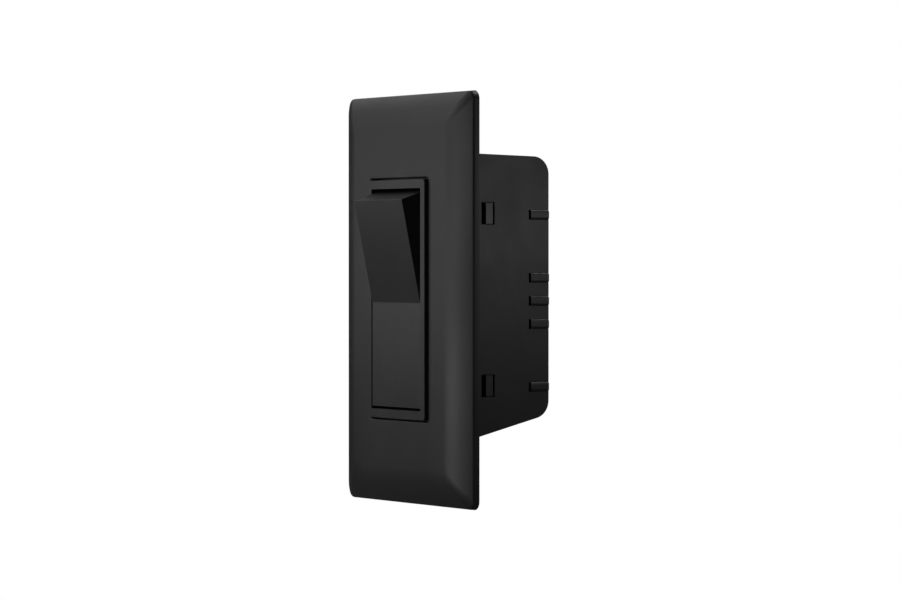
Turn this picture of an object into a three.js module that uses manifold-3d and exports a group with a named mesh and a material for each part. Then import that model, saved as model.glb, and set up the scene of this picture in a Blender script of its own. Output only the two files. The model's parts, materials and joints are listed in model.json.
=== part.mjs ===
// A self-contained rocker wall switch: a screwless cover plate, a rocker in a raised frame, and a wiring box behind
// that needs no separate wall box. The wall's face is the plane Y = 0, the room is towards -Y, +Z is up, and the
// origin is the centre of the cover plate on the wall's face. Lengths are in millimetres and angles in degrees.
import * as THREE from "three";
import { mergeVertices } from "three/addons/utils/BufferGeometryUtils.js";
import Module from "manifold-3d";

const wasm = await Module();
wasm.setup();

// Driving dimensions
const PLATE = { halfWidth: 34.925, halfHeight: 57.15, opening: [16.45, 33.75], openingRadius: 1.2 };
const FRAME = { halfWidth: 16.0, halfHeight: 33.25, front: -6.45, lip: 2.05, window: [13.7, 30.8], radius: 1.0 };
const SKIRT = { halfWidth: 16.6, bore: [14.6, 31.9], rear: 17.3 };
const FLANGE = { half: [24, 50], front: -2.2, radius: 3 };
const BOX = { halfWidth: 19, front: 0.3, rear: 32, wall: 1.8, cornerRadius: 5 };
const BOX_TOP = { atWall: 40.65, slope: -0.029 };
const BOX_BOTTOM = { atWall: -40.42, slope: 0.259 };
const ROCKER = { pivotY: 2.7, crease: 9.0, halfAngle: 5.85, halfWidth: 13.4, end: 29.0, endDraft: 13, endDepth: 7.5 };
const SKIN = 1.8;
const TRUNNION = { radius: 1.6, reach: 16.2, bearing: 1.95 };
const BAR = { pivotY: 15.6, halfAngle: 6, halfWidth: 4, halfLength: 11.5, front: -1.2, rear: -0.2 };
const CONTACT = { z: -9.5, radius: 1.7, rivet: 0.8 };
const BASE = { front: 17.6, rear: 19.6, half: [16.2, 32.6] };
const STRIP = { front: 19.9, rear: 20.8 };
const FORK = { column: 9, halfWidth: 3.4, thickness: 0.9, rear: 28.3, slot: 1.4, slotFront: 22.8 };
const COVER = { front: 30.2, rear: 32, half: [16.9, 26.9], wallFront: 24.5, wallInner: 15.4 };
const SCREW = { z: 37, radius: 1.75, headRadius: 2.75, headFront: -2.9, headRear: -1.25, tip: 14.5 };
const CLAMP = { front: 9.9, rear: 12.6, arm: 10.6, armHalf: 2.3, hub: 3.4, insert: 2.35, slotRear: 15 };
const WINDOW = { y: [10.1, 14.35], z: 23.9, half: 3.15, gap: 0.22 };
const RIB = { z: [-24.4, -6.9, -0.45, 6.0, 23.55], front: 26.0, half: 1.15, reach: 19.3, radius: 0.8 };
const NOTCH = { front: 25.5, half: 1.35 };
const BASE_SCREW_Z = 29;
const CLEARANCE = 0.3;
const OVERSHOOT = 1; // how far a cutting body runs past the face it opens

const material = (color, roughness, metalness = 0) =>
  new THREE.MeshStandardMaterial({ color, roughness, metalness });
const BLACK_PLASTIC = material(0x2a2a2b, 0.5);
const GREY_PLASTIC = material(0x4a4a4c, 0.6);
const BRASS = material(0xb08d4a, 0.35, 1);
const COPPER = material(0xb5653a, 0.35, 1);
const SILVER = material(0xd8d8d6, 0.25, 1);
const STEEL = material(0x9a9c9e, 0.35, 1);
const FIBRE = material(0x6b3a2a, 0.8);

// ---- Solids from three.js geometries ----

function solid(geometry) {
  const bare = geometry.index ? geometry.toNonIndexed() : geometry.clone();
  bare.deleteAttribute("normal");
  bare.deleteAttribute("uv");
  const merged = mergeVertices(bare, 1e-4);
  const vertProperties = merged.attributes.position.array;
  const triVerts = new Uint32Array(merged.index.array);
  return new wasm.Manifold(new wasm.Mesh({ numProp: 3, vertProperties, triVerts }));
}

function block([x0, x1], [y0, y1], [z0, z1]) {
  const box = new THREE.BoxGeometry(x1 - x0, y1 - y0, z1 - z0);
  return solid(box.translate((x0 + x1) / 2, (y0 + y1) / 2, (z0 + z1) / 2));
}

const mirrored = (half) => [-half, half];

function extrude(shape, depth, curveSegments = 6) {
  return new THREE.ExtrudeGeometry(shape, { depth, bevelEnabled: false, curveSegments });
}

// A shape drawn in X and Z, run along Y from y0 to y1.
function alongY(shape, y0, y1, curveSegments) {
  return solid(extrude(shape, y1 - y0, curveSegments).rotateX(Math.PI / 2).translate(0, y1, 0));
}

// A shape drawn in Y and Z, run along X from x0 to x1.
function alongX(shape, x0, x1, curveSegments) {
  const turn = new THREE.Matrix4().makeBasis(
    new THREE.Vector3(0, 1, 0),
    new THREE.Vector3(0, 0, 1),
    new THREE.Vector3(1, 0, 0),
  );
  return solid(extrude(shape, x1 - x0, curveSegments).applyMatrix4(turn).translate(x0, 0, 0));
}

// A shape drawn in X and Y, run along Z from z0 to z1.
function alongZ(shape, z0, z1, curveSegments) {
  return solid(extrude(shape, z1 - z0, curveSegments).translate(0, 0, z0));
}

const polygon = (points) => new THREE.Shape(points.map(([a, b]) => new THREE.Vector2(a, b)));

function roundedRectangle(halfWidth, halfHeight, radius) {
  const shape = new THREE.Shape();
  const a = halfWidth - radius;
  const b = halfHeight - radius;
  shape.absarc(a, b, radius, 0, Math.PI / 2);
  shape.absarc(-a, b, radius, Math.PI / 2, Math.PI);
  shape.absarc(-a, -b, radius, Math.PI, 1.5 * Math.PI);
  shape.absarc(a, -b, radius, 1.5 * Math.PI, 2 * Math.PI);
  return shape;
}

// A cylinder along Y, centred on x and z.
function rodY(radius, y0, y1, x = 0, z = 0, sides = 24) {
  const rod = new THREE.CylinderGeometry(radius, radius, y1 - y0, sides);
  return solid(rod.translate(x, (y0 + y1) / 2, z));
}

// A cylinder along X, centred on y and z.
function rodX(radius, x0, x1, y = 0, z = 0, sides = 24) {
  const rod = new THREE.CylinderGeometry(radius, radius, x1 - x0, sides).rotateZ(Math.PI / 2);
  return solid(rod.translate((x0 + x1) / 2, y, z));
}

// A turned piece about the Y axis, from [radius, y] pairs that start and end on the axis.
function turned(profile, sides = 24) {
  const points = profile.map(([r, y]) => new THREE.Vector2(r, y));
  return solid(new THREE.LatheGeometry(points, sides));
}

const CORNER_STEPS = 5;

// The points of a rounded rectangle at one depth, in order round it.
function ring(halfWidth, halfHeight, radius, y) {
  const corners = [[1, 1], [-1, 1], [-1, -1], [1, -1]];
  return corners.flatMap(([sx, sz], quarter) =>
    Array.from({ length: CORNER_STEPS + 1 }, (_, i) => {
      const angle = ((quarter + i / CORNER_STEPS) * Math.PI) / 2;
      const x = sx * (halfWidth - radius) + radius * Math.cos(angle);
      return [x, y, sz * (halfHeight - radius) + radius * Math.sin(angle)];
    }),
  );
}

// A closed body through rings with the same number of points, from the rearmost to the foremost.
function loft(rings) {
  const n = rings[0].length;
  const faces = [];
  for (let i = 1; i < n - 1; i++) {
    faces.push([rings[0][0], rings[0][i + 1], rings[0][i]]);
    const last = rings[rings.length - 1];
    faces.push([last[0], last[i], last[i + 1]]);
  }
  for (let k = 0; k + 1 < rings.length; k++)
    for (let i = 0; i < n; i++) {
      const j = (i + 1) % n;
      const [a, b, c, d] = [rings[k][i], rings[k][j], rings[k + 1][j], rings[k + 1][i]];
      faces.push([a, b, c], [a, c, d]);
    }
  const geometry = new THREE.BufferGeometry();
  geometry.setAttribute("position", new THREE.Float32BufferAttribute(faces.flat(2), 3));
  return solid(geometry);
}

const join = (...solids) => solids.reduce((all, next) => all.add(next));
const cut = (body, ...tools) => tools.reduce((left, tool) => left.subtract(tool), body);

function geometryOf(body) {
  const mesh = body.getMesh();
  const geometry = new THREE.BufferGeometry();
  geometry.setAttribute("position", new THREE.BufferAttribute(mesh.vertProperties, 3));
  geometry.setIndex(new THREE.BufferAttribute(mesh.triVerts, 1));
  geometry.computeVertexNormals();
  return geometry;
}

function piece(name, body, look) {
  const mesh = new THREE.Mesh(geometryOf(body), look);
  mesh.name = name;
  return mesh;
}

// ---- Cover plate ----

// Rings of the rim, as [inset from the outline, Y], from the wall up to where the bevel starts.
const RIM = [[0, 0], [0, -1.35], [0.12, -1.75], [0.4, -2.05]];
const RIM_WALL = [[1.7, 0.5], [1.7, -0.6]];
// The bevel's angle falls evenly from the first value to the second between its two insets.
const BEVEL = { inset: [0.4, 10], angle: [36, 2], front: -2.05 };
const CROWN = { inset: 17, front: -5.5 };
const PLATE_WALL = 1.9;
const SNAP_LEG = { x: 20.5, z: 44, half: [0.6, 2.2], root: -3.7, rear: -0.3, barb: 0.7, barbFront: -0.95 };

// The bevel's angle and Y at an inset from the plate's outline.
function bevelAt(inset) {
  const [from, to] = BEVEL.inset;
  const [steep, shallow] = BEVEL.angle.map(THREE.MathUtils.degToRad);
  const turnPerMm = (steep - shallow) / (to - from);
  const angle = steep - (inset - from) * turnPerMm;
  return { angle, y: BEVEL.front - Math.log(Math.cos(angle) / Math.cos(steep)) / turnPerMm };
}

// Corners are roundest at the rim, and the bevels meet in a crease that softens towards the crown.
function plateRing(inset, y) {
  const radius = Math.max(1.2, inset < 0.5 ? 2.4 + inset : 3 - 0.2 * inset);
  return ring(PLATE.halfWidth - inset, PLATE.halfHeight - inset, radius, y);
}

function plateOutside() {
  const bevel = [1.2, 2.4, 4, 5.8, 7.8, 10].map((inset) => plateRing(inset, bevelAt(inset).y));
  return loft([...RIM.map(([inset, y]) => plateRing(inset, y)), ...bevel, plateRing(CROWN.inset, CROWN.front)]);
}

function plateHollow() {
  const bevel = [2.4, 4, 6, 10].map((inset) => {
    const { angle, y } = bevelAt(inset);
    return plateRing(inset, y + PLATE_WALL / Math.cos(angle));
  });
  const top = plateRing(CROWN.inset, CROWN.front + PLATE_WALL);
  return loft([...RIM_WALL.map(([inset, y]) => plateRing(inset, y)), ...bevel, top]);
}

function snapLeg(side, z) {
  const inner = SNAP_LEG.x - SNAP_LEG.half[0];
  const outer = SNAP_LEG.x + SNAP_LEG.half[0];
  const outline = [
    [inner, SNAP_LEG.root], [outer, SNAP_LEG.root], [outer, SNAP_LEG.barbFront], [outer + SNAP_LEG.barb, SNAP_LEG.barbFront],
    [outer, SNAP_LEG.rear], [inner, SNAP_LEG.rear],
  ];
  const leg = alongZ(polygon(outline), z - SNAP_LEG.half[1], z + SNAP_LEG.half[1]);
  return side > 0 ? leg : leg.mirror([1, 0, 0]);
}

function wallPlate() {
  const opening = roundedRectangle(...PLATE.opening, PLATE.openingRadius);
  const shell = cut(plateOutside(), plateHollow(), alongY(opening, CROWN.front - OVERSHOOT, OVERSHOOT));
  const [openX, openZ] = PLATE.opening;
  const stiffeners = [-1, 1].map((side) => {
    const x = [side * openX, side * (openX + 1.4)].sort((a, b) => a - b);
    return block(x, [-3.6, -2.6], mirrored(openZ - 1));
  });
  const legs = [-1, 1].flatMap((side) => [-SNAP_LEG.z, SNAP_LEG.z].map((z) => snapLeg(side, z)));
  return piece("wall_plate", join(shell, ...stiffeners, ...legs), BLACK_PLASTIC);
}

// ---- Switch frame: the visible bezel, the mounting flange and the skirt that holds the mechanism ----

// The barb that holds the frame in the box: its outer face lies just inside the box's, and its rear edge is chamfered.
const BARB = { front: 11.7, reach: 18.75, chamfer: 0.2, root: SKIRT.halfWidth - 0.3 };

function latchTab(side, z) {
  const rear = WINDOW.y[1] - WINDOW.gap;
  const outline = polygon([
    [BARB.root, BARB.front], [BARB.reach, BARB.front], [BARB.reach, rear - BARB.chamfer],
    [BARB.reach - BARB.chamfer, rear], [BARB.root, rear],
  ]);
  const half = WINDOW.half - WINDOW.gap;
  const tab = alongZ(outline, z - half, z + half);
  return side > 0 ? tab : tab.mirror([1, 0, 0]);
}

function baseBoss(end) {
  const z = end * BASE_SCREW_Z;
  const web = end > 0 ? [z, FRAME.halfHeight - 0.7] : [0.7 - FRAME.halfHeight, z];
  return join(rodY(2.8, 8, SKIRT.rear, 0, z), block(mirrored(1), [8, SKIRT.rear], web));
}

function switchFrame() {
  const bezel = alongY(
    roundedRectangle(FRAME.halfWidth, FRAME.halfHeight, FRAME.radius), FRAME.front, -0.5, 5,
  );
  const flange = alongY(roundedRectangle(...FLANGE.half, FLANGE.radius), FLANGE.front, 0, 4);
  const skirt = block(mirrored(SKIRT.halfWidth), [-0.5, SKIRT.rear], mirrored(FRAME.halfHeight));
  const mouth = roundedRectangle(...FRAME.window, 0.4);
  const hollow = cut(
    join(bezel, flange, skirt),
    alongY(mouth, FRAME.front - OVERSHOOT, SKIRT.rear + OVERSHOOT, 2),
    block(
      mirrored(SKIRT.bore[0]), [FRAME.front + FRAME.lip, SKIRT.rear + OVERSHOOT], mirrored(SKIRT.bore[1]),
    ),
    rodX(TRUNNION.bearing, -20, 20, ROCKER.pivotY),
  );
  const ends = [-1, 1];
  const fittings = join(
    hollow,
    ...ends.map(baseBoss),
    ...ends.flatMap((side) => [-WINDOW.z, WINDOW.z].map((z) => latchTab(side, z))),
  );
  const screwHoles = ends.flatMap((end) => [
    rodY(SCREW.radius + 0.4, FLANGE.front - OVERSHOOT, OVERSHOOT, 0, end * SCREW.z),
    rodY(SCREW.headRadius + 0.45, FLANGE.front - OVERSHOOT, SCREW.headRear + CLEARANCE, 0, end * SCREW.z),
    rodY(1.45, 9, SKIRT.rear + OVERSHOOT, 0, end * BASE_SCREW_Z, 16),
  ]);
  const legSlots = ends.flatMap((side) =>
    [-SNAP_LEG.z, SNAP_LEG.z].flatMap((z) => {
      const across = (outer) => [side * 19.6, side * outer].sort((a, b) => a - b);
      const along = [z - SNAP_LEG.half[1] - 0.4, z + SNAP_LEG.half[1] + 0.4];
      return [
        block(across(21.45), [FLANGE.front - OVERSHOOT, OVERSHOOT], along),
        block(across(22.3), [-1.25, OVERSHOOT], along),
      ];
    }),
  );
  return piece("switch_frame", cut(fittings, ...screwHoles, ...legSlots), BLACK_PLASTIC);
}

// ---- Wiring box ----

const slope = (line, y) => line.atWall + line.slope * y;

// The box's side outline in Y and Z, moved inwards by a wall's thickness when inset is not 0.
function boxOutline(inset) {
  const rear = BOX.rear - inset;
  const radius = BOX.cornerRadius - inset;
  const front = inset ? BOX.front - OVERSHOOT : BOX.front;
  const top = (y) => slope(BOX_TOP, y) - inset;
  const bottom = (y) => slope(BOX_BOTTOM, y) + inset * Math.hypot(1, BOX_BOTTOM.slope);
  const tilt = Math.atan(BOX_BOTTOM.slope);
  const centreY = rear - radius;
  const lowCentreZ = bottom(centreY) + radius / Math.cos(tilt);
  const shape = new THREE.Shape();
  shape.moveTo(front, top(front));
  shape.lineTo(front, bottom(front));
  shape.absarc(centreY, lowCentreZ, radius, tilt - Math.PI / 2, 0);
  shape.absarc(centreY, top(centreY) - radius, radius, 0, Math.PI / 2);
  return shape;
}

function rearHousing() {
  const inner = BOX.halfWidth - BOX.wall;
  const shell = cut(
    alongX(boxOutline(0), -BOX.halfWidth, BOX.halfWidth, 8),
    alongX(boxOutline(BOX.wall), -inner, inner, 6),
  );
  const wholeWidth = mirrored(BOX.halfWidth + OVERSHOOT);
  const coverOpening = block(
    mirrored(inner), [BOX.rear - BOX.wall - OVERSHOOT, BOX.rear + OVERSHOOT], mirrored(COVER.half[1] + CLEARANCE),
  );
  const windows = [-WINDOW.z, WINDOW.z].map((z) =>
    block(wholeWidth, WINDOW.y, [z - WINDOW.half, z + WINDOW.half]),
  );
  const notches = RIB.z.map((z) =>
    block(wholeWidth, [NOTCH.front, BOX.rear + OVERSHOOT], [z - NOTCH.half, z + NOTCH.half]),
  );
  const sweep = [-CLAMP.arm - 0.6, CLAMP.hub + 0.4];
  const wingSlots = [
    block(sweep, [0, CLAMP.slotRear], [35.5, 45]),
    block(sweep.map((x) => -x).reverse(), [0, CLAMP.slotRear], [-45, -33.6]),
  ];
  const cableWays = [
    block(mirrored(12), [20.4, 26.4], [30, 45]),
    block(mirrored(12), [20.4, 26.4], [-45, -30]),
  ];
  return piece(
    "rear_housing", cut(shell, coverOpening, ...windows, ...notches, ...wingSlots, ...cableWays), BLACK_PLASTIC,
  );
}

// ---- Rear cover: closes the box, and its posts press the wires into the terminals ----

function coverRib(side, z) {
  const shape = new THREE.Shape();
  const root = COVER.half[0] - 0.2;
  shape.moveTo(root, z + RIB.half);
  shape.lineTo(root, z - RIB.half);
  shape.absarc(RIB.reach - RIB.radius, z - RIB.half + RIB.radius, RIB.radius, -Math.PI / 2, 0);
  shape.absarc(RIB.reach - RIB.radius, z + RIB.half - RIB.radius, RIB.radius, 0, Math.PI / 2);
  const rib = alongY(shape, RIB.front, COVER.rear, 6);
  return side > 0 ? rib : rib.mirror([1, 0, 0]);
}

function coverHook(end) {
  const [, edge] = COVER.half;
  const outline = polygon([
    [27.6, edge - 1.7], [COVER.front + 0.2, edge - 1.7], [COVER.front + 0.2, edge - 0.3],
    [29.9, edge - 0.3], [29.9, edge + 1.3], [27.6, edge - 0.3],
  ]);
  const hook = alongX(outline, -4, 4);
  return end > 0 ? hook : hook.mirror([0, 0, 1]);
}

function rearCover() {
  const [halfWidth, halfHeight] = COVER.half;
  const panel = block(mirrored(halfWidth), [COVER.front, COVER.rear], mirrored(halfHeight));
  const wallDepth = [COVER.wallFront, COVER.front + 0.2];
  const walls = [-1, 1].map((side) => {
    const x = [side * COVER.wallInner, side * halfWidth].sort((a, b) => a - b);
    return block(x, wallDepth, mirrored(halfHeight));
  });
  const ribs = [-1, 1].flatMap((side) => RIB.z.map((z) => coverRib(side, z)));
  const ends = [-1, 1];
  const post = (x, z) => block([x - 2.6, x + 2.6], [24.6, COVER.front + 0.2], z);
  const posts = [post(-FORK.column, [6.7, 13.4]), post(-FORK.column, [-15.3, -9.6]), post(FORK.column, [6.7, 14.4])];
  const wireGroove = (x) => rodZ(0.9, -27, 27, x, 24.6);
  const grips = ends.map((end) => {
    const z = [end * 21, end * 22.6].sort((a, b) => a - b);
    return block(mirrored(11), [27.4, COVER.front + 0.2], z);
  });
  const pressPad = alongY(roundedRectangle(11, 19, 2), COVER.rear - 0.6, COVER.rear + OVERSHOOT);
  const body = join(panel, ...walls, ...ribs, ...ends.map(coverHook), ...posts, ...grips);
  return piece(
    "rear_cover", cut(body, wireGroove(-FORK.column), wireGroove(FORK.column), pressPad), BLACK_PLASTIC,
  );
}

// A cylinder along Z, centred on x and y.
function rodZ(radius, z0, z1, x, y, sides = 12) {
  const rod = new THREE.CylinderGeometry(radius, radius, z1 - z0, sides).rotateX(Math.PI / 2);
  return solid(rod.translate(x, y, (z0 + z1) / 2));
}

// ---- Switch base and terminals ----

function switchBase() {
  const plate = block(mirrored(BASE.half[0]), [BASE.front, BASE.rear], mirrored(BASE.half[1]));
  const dividers = [-4.6, 4.6].flatMap((x) =>
    [[18.5, 27], [-27, -19.5]].map((z) => block([x - 0.5, x + 0.5], [BASE.rear - 0.1, 25], z)),
  );
  const earSlots = [-4.95, 4.95].map((x) => block([x - 0.75, x + 0.75], [17, 20], mirrored(2.3)));
  const padWindow = block(mirrored(3.6), [17, 20], [-13.8, -6.1]);
  const screwHoles = [-1, 1].map((end) => rodY(1.5, 17, 20, 0, end * BASE_SCREW_Z, 16));
  return piece("switch_base", cut(join(plate, ...dividers), ...earSlots, padWindow, ...screwHoles), GREY_PLASTIC);
}

// A pair of slotted blades that stand up from a strip and cut into a wire pressed between their tines.
function forks(x, z0, z1) {
  const wide = [x - FORK.halfWidth, x + FORK.halfWidth];
  const blades = [z0, z1 - FORK.thickness].map((z) =>
    block(wide, [STRIP.front, FORK.rear], [z, z + FORK.thickness]),
  );
  const strip = block(wide, [STRIP.front, STRIP.rear], [z0, z1]);
  const slot = block(
    [x - FORK.slot / 2, x + FORK.slot / 2], [FORK.slotFront, FORK.rear + OVERSHOOT], [z0 - OVERSHOOT, z1 + OVERSHOOT],
  );
  return cut(join(strip, ...blades), slot);
}

function lineTerminal() {
  const ears = [-4.95, 4.95].map((x) => block([x - 0.45, x + 0.45], [14, STRIP.rear], mirrored(2)));
  const bridge = block([-FORK.column - FORK.halfWidth, 5.4], [STRIP.front, STRIP.rear], mirrored(2));
  const riser = block([-FORK.column - FORK.halfWidth, -FORK.column + FORK.halfWidth], [STRIP.front, STRIP.rear], [0, 6]);
  const notch = join(rodX(1.15, -6, 6, BAR.pivotY, 0, 16), block(mirrored(6), [13, BAR.pivotY], mirrored(1.15)));
  return piece("line_terminal", cut(join(...ears, bridge, riser, forks(-FORK.column, 5.1, 15)), notch), BRASS);
}

function loadTerminal() {
  const pad = block(mirrored(3.2), [18.7, 19.5], [-13.4, -6.5]);
  const step = block(mirrored(3.2), [18.7, STRIP.rear], [-13.4, -12.5]);
  const bridge = block([-FORK.column - FORK.halfWidth, 3.2], [STRIP.front, STRIP.rear], [-16.9, -12.6]);
  const rivetHole = rodY(CONTACT.rivet + 0.25, 18, 20, 0, CONTACT.z, 16);
  return piece("load_terminal", cut(join(pad, step, bridge, forks(-FORK.column, -16.9, -8)), rivetHole), BRASS);
}

function groundTerminal() {
  const tail = block([FORK.column - 1.6, FORK.column + 1.6], [STRIP.front, STRIP.rear], [0, 6]);
  return piece("ground_terminal", join(forks(FORK.column, 5.1, 16), tail), BRASS);
}

function fixedContact() {
  const rivet = turned([[0, 17.7], [1.5, 17.7], [CONTACT.radius, 17.9], [CONTACT.radius, 18.45],
    [CONTACT.rivet, 18.45], [CONTACT.rivet, 19.75], [1.3, 19.75], [1.3, 20.05], [0, 20.05]]);
  return piece("fixed_contact", rivet.translate(0, 0, CONTACT.z), SILVER);
}

// ---- Rocker, with the sprung plunger in its post ----

// Outlines in Y and Z about the pivot, with both facets tilted alike. The rocker is hollow behind its skin.
function rockerOutline() {
  const { crease, halfAngle, end, endDraft, endDepth } = ROCKER;
  const corner = crease + end * Math.tan(THREE.MathUtils.degToRad(halfAngle));
  const spread = endDepth * Math.tan(THREE.MathUtils.degToRad(endDraft));
  const upper = [[-corner, end], [endDepth - corner, end + spread], [3.4, 6]];
  const lower = upper.map(([y, z]) => [y, -z]).reverse();
  return polygon([[-crease, 0], ...lower.reverse(), ...upper.reverse()]);
}

function rockerHollow() {
  const { crease, halfAngle, end } = ROCKER;
  const corner = crease - SKIN + (end - 1.6) * Math.tan(THREE.MathUtils.degToRad(halfAngle));
  const upper = [[-corner, end - 1.6], [-3.9, end + 0.15], [6, end + 0.15]];
  const lower = upper.map(([y, z]) => [y, -z]);
  return polygon([[SKIN - crease, 0], ...lower, ...upper.reverse()]);
}

function rockerBody() {
  const { halfWidth } = ROCKER;
  const webInner = halfWidth - 1.5;
  const shell = cut(
    alongX(rockerOutline(), -halfWidth, halfWidth),
    alongX(rockerHollow(), -webInner, webInner),
  );
  const trunnions = [-1, 1].map((side) => {
    const x = [side * (webInner - 0.8), side * TRUNNION.reach].sort((a, b) => a - b);
    return rodX(TRUNNION.radius, ...x);
  });
  const post = rodY(3.4, -8, 7);
  const gusset = block(mirrored(webInner + 0.1), [-7.6, -2.6], mirrored(0.7));
  const bore = rodY(2.3, -5.2, 8);
  return cut(join(shell, ...trunnions, post, gusset), bore);
}

function plunger() {
  const tip = Array.from({ length: 6 }, (_, i) => {
    const angle = (i / 6) * (Math.PI / 2);
    return [1.9 * Math.cos(angle), 9.5 + 1.9 * Math.sin(angle)];
  });
  return turned([[0, 0.4], [0.8, 0.4], [0.9, 0.7], [0.9, 2.3], [1.95, 2.3], ...tip, [0, 11.4]]);
}

class Helix extends THREE.Curve {
  constructor(radius, y0, y1, turns) {
    super();
    Object.assign(this, { radius, y0, y1, turns });
  }
  getPoint(t) {
    const angle = t * this.turns * 2 * Math.PI;
    const y = this.y0 + (this.y1 - this.y0) * t;
    return new THREE.Vector3(this.radius * Math.cos(angle), y, this.radius * Math.sin(angle));
  }
}

function plungerSpring() {
  const wire = new THREE.Shape();
  wire.absarc(0, 0, 0.28, 0, 2 * Math.PI);
  const turns = 6;
  const options = { extrudePath: new Helix(1.5, -4.6, 1.7, turns), steps: 12 * turns, curveSegments: 4 };
  return solid(new THREE.ExtrudeGeometry(wire, options));
}

function rockerGroup() {
  const group = new THREE.Group();
  group.position.set(0, ROCKER.pivotY, 0);
  group.rotation.x = THREE.MathUtils.degToRad(ROCKER.halfAngle);
  group.add(
    piece("rocker", rockerBody(), BLACK_PLASTIC),
    piece("plunger", plunger(), GREY_PLASTIC),
    piece("plunger_spring", plungerSpring(), STEEL),
  );
  return group;
}

// ---- Contact bar, which rocks on the line terminal's ears ----

function contactBarGroup() {
  const bar = cut(
    join(
      block(mirrored(BAR.halfWidth), [BAR.front, BAR.rear], mirrored(BAR.halfLength)),
      rodX(0.8, -5.8, 5.8, 0, 0, 16),
    ),
    rodY(CONTACT.rivet + 0.25, -2, 1, 0, CONTACT.z, 16),
  );
  const rivet = turned([[0, -1.8], [1.3, -1.8], [1.3, -1.45], [CONTACT.rivet, -1.45], [CONTACT.rivet, 0.05],
    [CONTACT.radius, 0.05], [CONTACT.radius, 0.4], [1.5, 0.6], [0, 0.6]]);
  const group = new THREE.Group();
  group.position.set(0, BAR.pivotY, 0);
  group.rotation.x = -THREE.MathUtils.degToRad(BAR.halfAngle);
  group.add(
    piece("contact_bar", bar, COPPER),
    piece("moving_contact", rivet.translate(0, 0, CONTACT.z), SILVER),
  );
  return group;
}

// ---- Fasteners ----

function mountingScrew() {
  const { radius, headRadius, headFront, headRear, tip } = SCREW;
  const body = turned([[0, headFront], [headRadius - 0.7, headFront], [headRadius, headFront + 0.6],
    [headRadius, headRear], [radius, headRear], [radius, tip - 0.6], [radius - 0.6, tip], [0, tip]]);
  const arm = [headFront - OVERSHOOT, headFront + 0.9];
  return cut(body, block(mirrored(1.8), arm, mirrored(0.4)), block(mirrored(0.4), arm, mirrored(1.8)));
}

function baseScrew() {
  const body = turned([[0, 10], [0.5, 10], [1.15, 11.4], [1.15, 19.9], [2.5, 19.9], [2.5, 20.9], [1.9, 21.4], [0, 21.4]]);
  return cut(body, block(mirrored(1.7), [20.7, 22], mirrored(0.35)), block(mirrored(0.35), [20.7, 22], mirrored(1.7)));
}

function washer() {
  return cut(rodY(2.9, CLEARANCE, 1), rodY(SCREW.radius + 0.25, 0, 2));
}

// A threaded insert that a mounting screw draws forwards.
function clampInsert() {
  return cut(rodY(CLAMP.insert, CLAMP.front, CLAMP.rear), rodY(SCREW.radius + 0.2, 0, 20));
}

// The wing that swings out behind the wall and is drawn up against it. Its arm points along -X when parked.
function clampWing() {
  const teeth = Array.from({ length: 3 }, (_, i) => {
    const x = -CLAMP.arm + 0.2 + 1.6 * i;
    return alongZ(
      polygon([[x, CLAMP.front + 0.1], [x + 0.5, CLAMP.front - 0.6], [x + 1, CLAMP.front + 0.1]]),
      -CLAMP.armHalf, CLAMP.armHalf,
    );
  });
  const arm = block([-CLAMP.arm, -1], [CLAMP.front, CLAMP.rear], mirrored(CLAMP.armHalf));
  const rib = block([-CLAMP.arm + 2, -1], [CLAMP.rear - 0.1, CLAMP.rear + 0.7], mirrored(0.6));
  const hub = rodY(CLAMP.hub, CLAMP.front, CLAMP.rear);
  return cut(join(hub, arm, rib, ...teeth), rodY(CLAMP.insert + 0.25, 0, 20));
}

function fastenerSet(end) {
  const place = end > 0 ? "top" : "bottom";
  const group = new THREE.Group();
  group.position.z = end * SCREW.z;
  group.rotation.y = end > 0 ? 0 : Math.PI;
  group.add(
    piece(`mounting_screw_${place}`, mountingScrew(), STEEL),
    piece(`screw_retainer_${place}`, washer(), FIBRE),
    piece(`clamp_insert_${place}`, clampInsert(), BRASS),
    piece(`clamp_wing_${place}`, clampWing(), STEEL),
  );
  const tapping = piece(`base_screw_${place}`, baseScrew(), STEEL);
  tapping.position.z = end * BASE_SCREW_Z;
  return [group, tapping];
}

// ---- The whole switch ----

const wallSwitch = new THREE.Group();
wallSwitch.add(
  wallPlate(),
  switchFrame(),
  rearHousing(),
  rearCover(),
  switchBase(),
  lineTerminal(),
  loadTerminal(),
  groundTerminal(),
  fixedContact(),
  rockerGroup(),
  contactBarGroup(),
  ...fastenerSet(1),
  ...fastenerSet(-1),
);

export default wallSwitch;
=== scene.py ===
"""The finished look of a self-contained rocker wall switch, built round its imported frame.

The file is laid out as an add-on. Run as a script, it registers its settings and operators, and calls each
operator in order. Shapes are worked out in millimetres and put into meshes in metres.
The wall's face is the plane Y = 0, the room is towards -Y, and Z is up.
"""

import json
import math

import bmesh
import bpy
from mathutils import Matrix, Vector


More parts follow.
